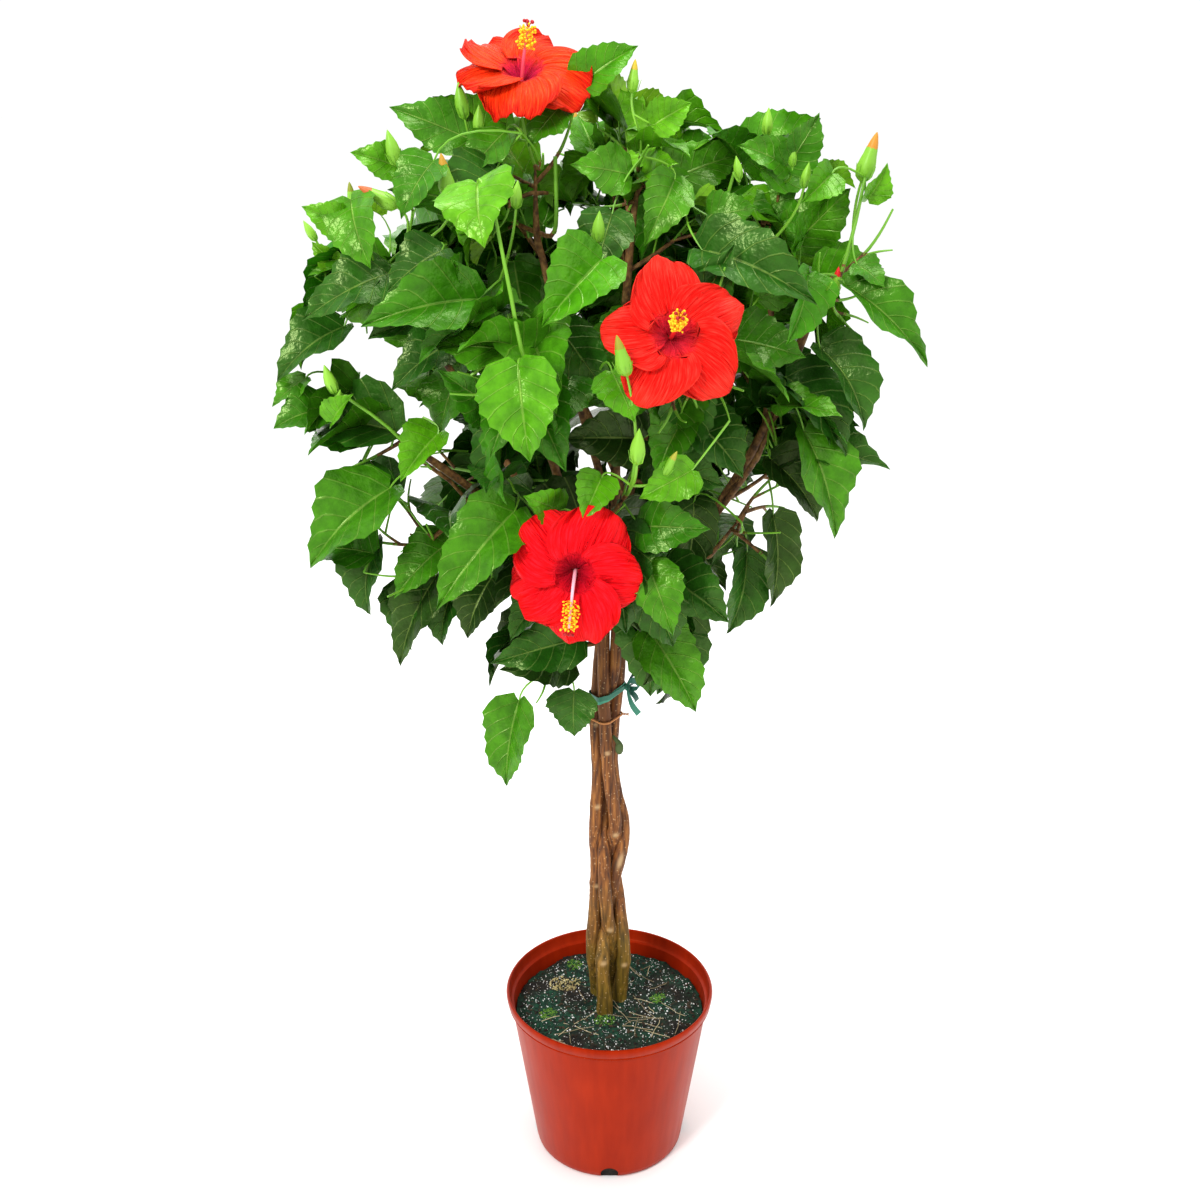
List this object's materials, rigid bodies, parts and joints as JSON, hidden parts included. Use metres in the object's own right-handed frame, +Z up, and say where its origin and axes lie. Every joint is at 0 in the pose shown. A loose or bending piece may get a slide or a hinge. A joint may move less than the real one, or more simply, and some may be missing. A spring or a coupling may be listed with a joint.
{
  "type": "braided hibiscus tree in pot",
  "caption": "Hibiscus trained as a small standard tree, with plaited stems, a leafy round crown and large red blooms, in a plastic grower's pot.",
  "frame": {"origin": "centre of the pot's flat underside", "axes": "+Z up along the pot's axis; -Y towards the front of the crown, where the blooms face; +X to the right seen from the front"},
  "size_m": [0.664, 0.5003, 1.323],
  "materials": {
    "pot_plastic": "moulded terracotta-orange plastic, satin",
    "potting_mix": "dark peat and bark mix with white perlite",
    "bark": "brown bark, olive green at the foot",
    "bough_bark": "thin brown-green bark",
    "leaves": "glossy toothed leaves, yellow-green at the tips of the shoots, with red blooms",
    "green_shoots": "green bark of young shoots and leaf stalks",
    "petals": "red ruffled petals with a darker throat",
    "anthers": "yellow pollen on a pale column",
    "perlite": "matt white grains in the potting mix",
    "tie_tape": "stretchy teal-green plant tape",
    "twist_tie": "brown twist tie"
  },
  "bodies": {
    "root": {"bough_back": "bough_bark", "bough_back_left": "bough_bark", "bough_back_left_upper": "bough_bark", "bough_back_low": "bough_bark", "bough_back_right": "bough_bark", "bough_back_top": "bough_bark", "bough_front": "bough_bark", "bough_front_low": "bough_bark", "bough_front_right": "bough_bark", "bough_left": "bough_bark", "bough_left_low": "bough_bark", "bough_left_upper": "bough_bark", "bough_right": "bough_bark", "bough_right_low": "bough_bark", "bough_right_middle": "bough_bark", "bough_skirt_left": "bough_bark", "bough_skirt_right": "bough_bark", "bough_top": "bough_bark", "bough_top_left": "bough_bark", "bough_top_right": "bough_bark", "leaves_back_left": "leaves", "leaves_back_left_upper": "leaves", "leaves_back_low": "leaves", "leaves_back_right": "leaves", "leaves_back_right_upper": "leaves", "leaves_back_top": "leaves", "leaves_front": "leaves", "leaves_front_low": "leaves", "leaves_front_right": "leaves", "leaves_left": "leaves", "leaves_left_low": "leaves", "leaves_left_upper": "leaves", "leaves_right_low": "leaves", "leaves_right_middle": "leaves", "leaves_right_upper": "leaves", "leaves_skirt_left": "leaves", "leaves_skirt_right": "leaves", "leaves_top": "leaves", "leaves_top_left": "leaves", "leaves_top_right": "leaves", "pot": "pot_plastic", "potting_mix": "potting_mix", "stem_back": "bark", "stem_front": "bark", "stem_left": "bark", "stem_right": "bark", "tie_tape": "tie_tape", "twist_tie": "twist_tie"}
  },
  "joints": []
}
